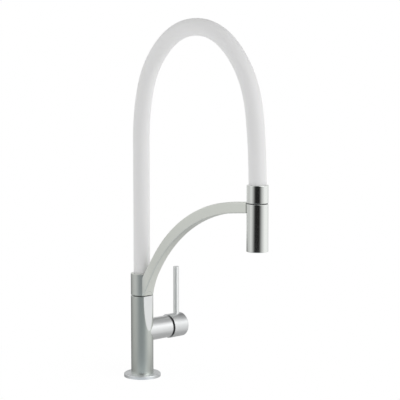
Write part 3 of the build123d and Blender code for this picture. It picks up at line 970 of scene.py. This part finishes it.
class FAUCET_OT_fittings(Operator):
    """Give the hidden brass and steel fittings their turned metal"""

    bl_idname = "faucet.fittings"
    bl_label = "Brass and steel fittings"

    def execute(self, context):
        dress(machined("turned_brass", (0.71, 0.58, 0.31), roughness=0.24), BRASS)
        dress(machined("plain_steel", (0.6, 0.6, 0.6), roughness=0.22), PLAIN_STEEL)
        dress(machined("nickel_plate", (0.55, 0.54, 0.52), roughness=0.2), ("dock_magnet",))
        return {"FINISHED"}


class FAUCET_OT_waterway(Operator):
    """Give the cartridge and the spray head's insides their plastic and ceramic"""

    bl_idname = "faucet.waterway"
    bl_label = "Cartridge and waterway"

    def execute(self, context):
        dress(moulded("white_plastic", (0.78, 0.78, 0.76), roughness=0.36), WHITE_PLASTIC)
        ceramic = moulded("ground_ceramic", (0.86, 0.85, 0.82), roughness=0.2, speckle=2600.0)
        dress(ceramic, CERAMIC)
        return {"FINISHED"}


class FAUCET_OT_stage(Operator):
    """Add the pale floor and the studio light"""

    bl_idname = "faucet.stage"
    bl_label = "Floor and light"

    def execute(self, context):
        settings = context.scene.faucet_stage
        self.add_floor(context, settings)
        self.light_studio(context, settings)
        context.scene.view_settings.view_transform = "Standard"
        return {"FINISHED"}

    def add_floor(self, context, settings):
        half = settings.floor_size / 2
        mesh = bpy.data.meshes.new("floor")
        corners = [(-half, -half, 0), (half, -half, 0), (half, half, 0), (-half, half, 0)]
        mesh.from_pydata(corners, [], [(0, 1, 2, 3)])
        floor = bpy.data.objects.new("floor", mesh)
        context.scene.collection.objects.link(floor)
        floor.location.z = -FLOOR_DROP
        material, sheet = new_material("pale_floor")
        mottle = sheet.cloud(scale=9.0, detail=3.0, roughness=0.5)
        base = settings.floor_color
        color = sheet.mix_color(mottle, base, darkened(base, 0.99))
        matt = sheet.out(sheet.add("ShaderNodeBsdfDiffuse", Color=color))
        x, y, _ = sheet.place()
        distance = length(x, y)
        right, front = turned_to_camera(x, y, settings.view_azimuth)
        path = sheet.add("ShaderNodeLightPath")
        camera = sheet.out(path, "Is Camera Ray")
        mirrored = sheet.out(path, "Is Glossy Ray") + sheet.out(path, "Is Transmission Ray")
        right_share = right / (distance + AXIS_GUARD)
        left_share = 0 - right_share
        front_share = front / (distance + AXIS_GUARD)
        back_share = 0 - front_share
        ahead = front_share.smooth(*AHEAD_SIDE)
        # Painted shade: as mirrored, the floor is darker near the foot.
        near = NEAR_LEVEL * (FOOT_SHARE + distance.smooth(*FOOT_FADE) * (1 - FOOT_SHARE))
        # A painted pool of light on the right, seen only in reflections.
        light_pool = right_share.smooth(*LIGHT_POOL_RIGHT_SIDE) * distance.smooth(*LIGHT_POOL_FADE)
        # Painted light ahead of the foot and painted shade on its left, close round it.
        rim = ahead * RIM_AHEAD_LEVEL - left_share.smooth(*RIM_LEFT_SIDE) * RIM_LEFT_LEVEL
        near = near + light_pool * LIGHT_POOL_LEVEL + (1 - distance.smooth(*RIM_FADE)) * rim
        far = distance.smooth(*WALL_FADE)
        level = near * (1 - far) + studio_walls(sheet, right, front) * far
        # Painted shade behind on the left.
        shade = back_share.smooth(*SHADE_BACK_SIDE) * left_share.smooth(*SHADE_LEFT_SIDE)
        level = level * (1 - shade * (1 - distance.smooth(*SHADE_FADE)) * SHADE_DEPTH)
        seen = SEEN_AT_FOOT + distance.smooth(*SEEN_FADE) * (1 - SEEN_AT_FOOT)
        glow = settings.table_glow * (1 - mirrored) + mirrored
        share = glow * (1 - camera) + seen * camera
        strength = 1 + mirrored * (level - 1) + camera * (1 - seen) * SEEN_FILL
        # Painted reflection: a cool tint ahead, for mirrored rays only.
        reflected_tint = sheet.mix_color(ahead * (1 - far) * mirrored, (1, 1, 1), REFLECTED_COOL_TINT)
        white = sheet.add("ShaderNodeEmission", Color=reflected_tint, Strength=strength)
        lit = sheet.add("ShaderNodeMixShader", Fac=share, _1=matt, _2=sheet.out(white))
        sheet.add("ShaderNodeOutputMaterial", Surface=sheet.out(lit))
        mesh.materials.append(material)

    def light_studio(self, context, settings):
        """White walls with a dark gap behind the camera, two soft boxes and a grey ceiling."""
        world = context.scene.world or bpy.data.worlds.new("studio")
        context.scene.world = world
        sheet = Sheet(world)
        coordinates = sheet.add("ShaderNodeTexCoord")
        parts = sheet.add("ShaderNodeSeparateXYZ", Vector=sheet.out(coordinates, "Generated"))
        x, y, up = (sheet.out(parts, name) for name in "XYZ")
        right, front = turned_to_camera(x, y, settings.view_azimuth)
        walls = studio_walls(sheet, right, front)
        high = up.smooth(*CEILING_FADE)
        low = (0 - up).smooth(*SWEEP_FADE)
        shaded = towards(right, front, up, *CEILING_SHADE) * CEILING_SHADE_DEPTH
        ceiling = settings.ceiling_level * (1 - shaded)
        level = walls * (1 - high - low) + high * ceiling + low * settings.sweep_level
        level = level + towards(right, front, up, *KEY_BOX) * settings.key_level
        level = level + towards(right, front, up, *FILL_BOX) * settings.fill_level
        camera = sheet.out(sheet.add("ShaderNodeLightPath"), "Is Camera Ray")
        level = level * (1 - camera) + camera
        background = sheet.add("ShaderNodeBackground", Color=(1, 1, 1, 1), Strength=level)
        sheet.add("ShaderNodeOutputWorld", Surface=sheet.out(background))


STEPS = (
    FAUCET_OT_camera,
    FAUCET_OT_hose,
    FAUCET_OT_steel,
    FAUCET_OT_chrome,
    FAUCET_OT_seals,
    FAUCET_OT_fittings,
    FAUCET_OT_waterway,
    FAUCET_OT_stage,
)


class FAUCET_PT_panel(Panel):
    """Lists the faucet's steps and settings"""

    bl_idname = "FAUCET_PT_panel"
    bl_label = "Faucet"
    bl_space_type = "VIEW_3D"
    bl_region_type = "UI"
    bl_category = "Faucet"

    def draw(self, context):
        for step in STEPS:
            self.layout.operator(step.bl_idname)
        for settings_name in GROUPS:
            group = getattr(context.scene, settings_name)
            box = self.layout.box()
            for name in group.__annotations__:
                box.prop(group, name)


GROUPS = {
    "faucet_finish": FaucetFinishSettings,
    "faucet_hose": FaucetHoseSettings,
    "faucet_stage": FaucetStageSettings,
}


def register():
    for group in GROUPS.values():
        bpy.utils.register_class(group)
    for name, group in GROUPS.items():
        setattr(bpy.types.Scene, name, PointerProperty(type=group))
    for step in STEPS:
        bpy.utils.register_class(step)
    bpy.utils.register_class(FAUCET_PT_panel)


def unregister():
    bpy.utils.unregister_class(FAUCET_PT_panel)
    for step in reversed(STEPS):
        bpy.utils.unregister_class(step)
    for name, group in GROUPS.items():
        delattr(bpy.types.Scene, name)
        bpy.utils.unregister_class(group)


def main():
    register()
    bpy.ops.faucet.camera()
    bpy.ops.faucet.hose()
    bpy.ops.faucet.steel()
    bpy.ops.faucet.chrome()
    bpy.ops.faucet.seals()
    bpy.ops.faucet.fittings()
    bpy.ops.faucet.waterway()
    bpy.ops.faucet.stage()


if __name__ == "__main__":
    main()
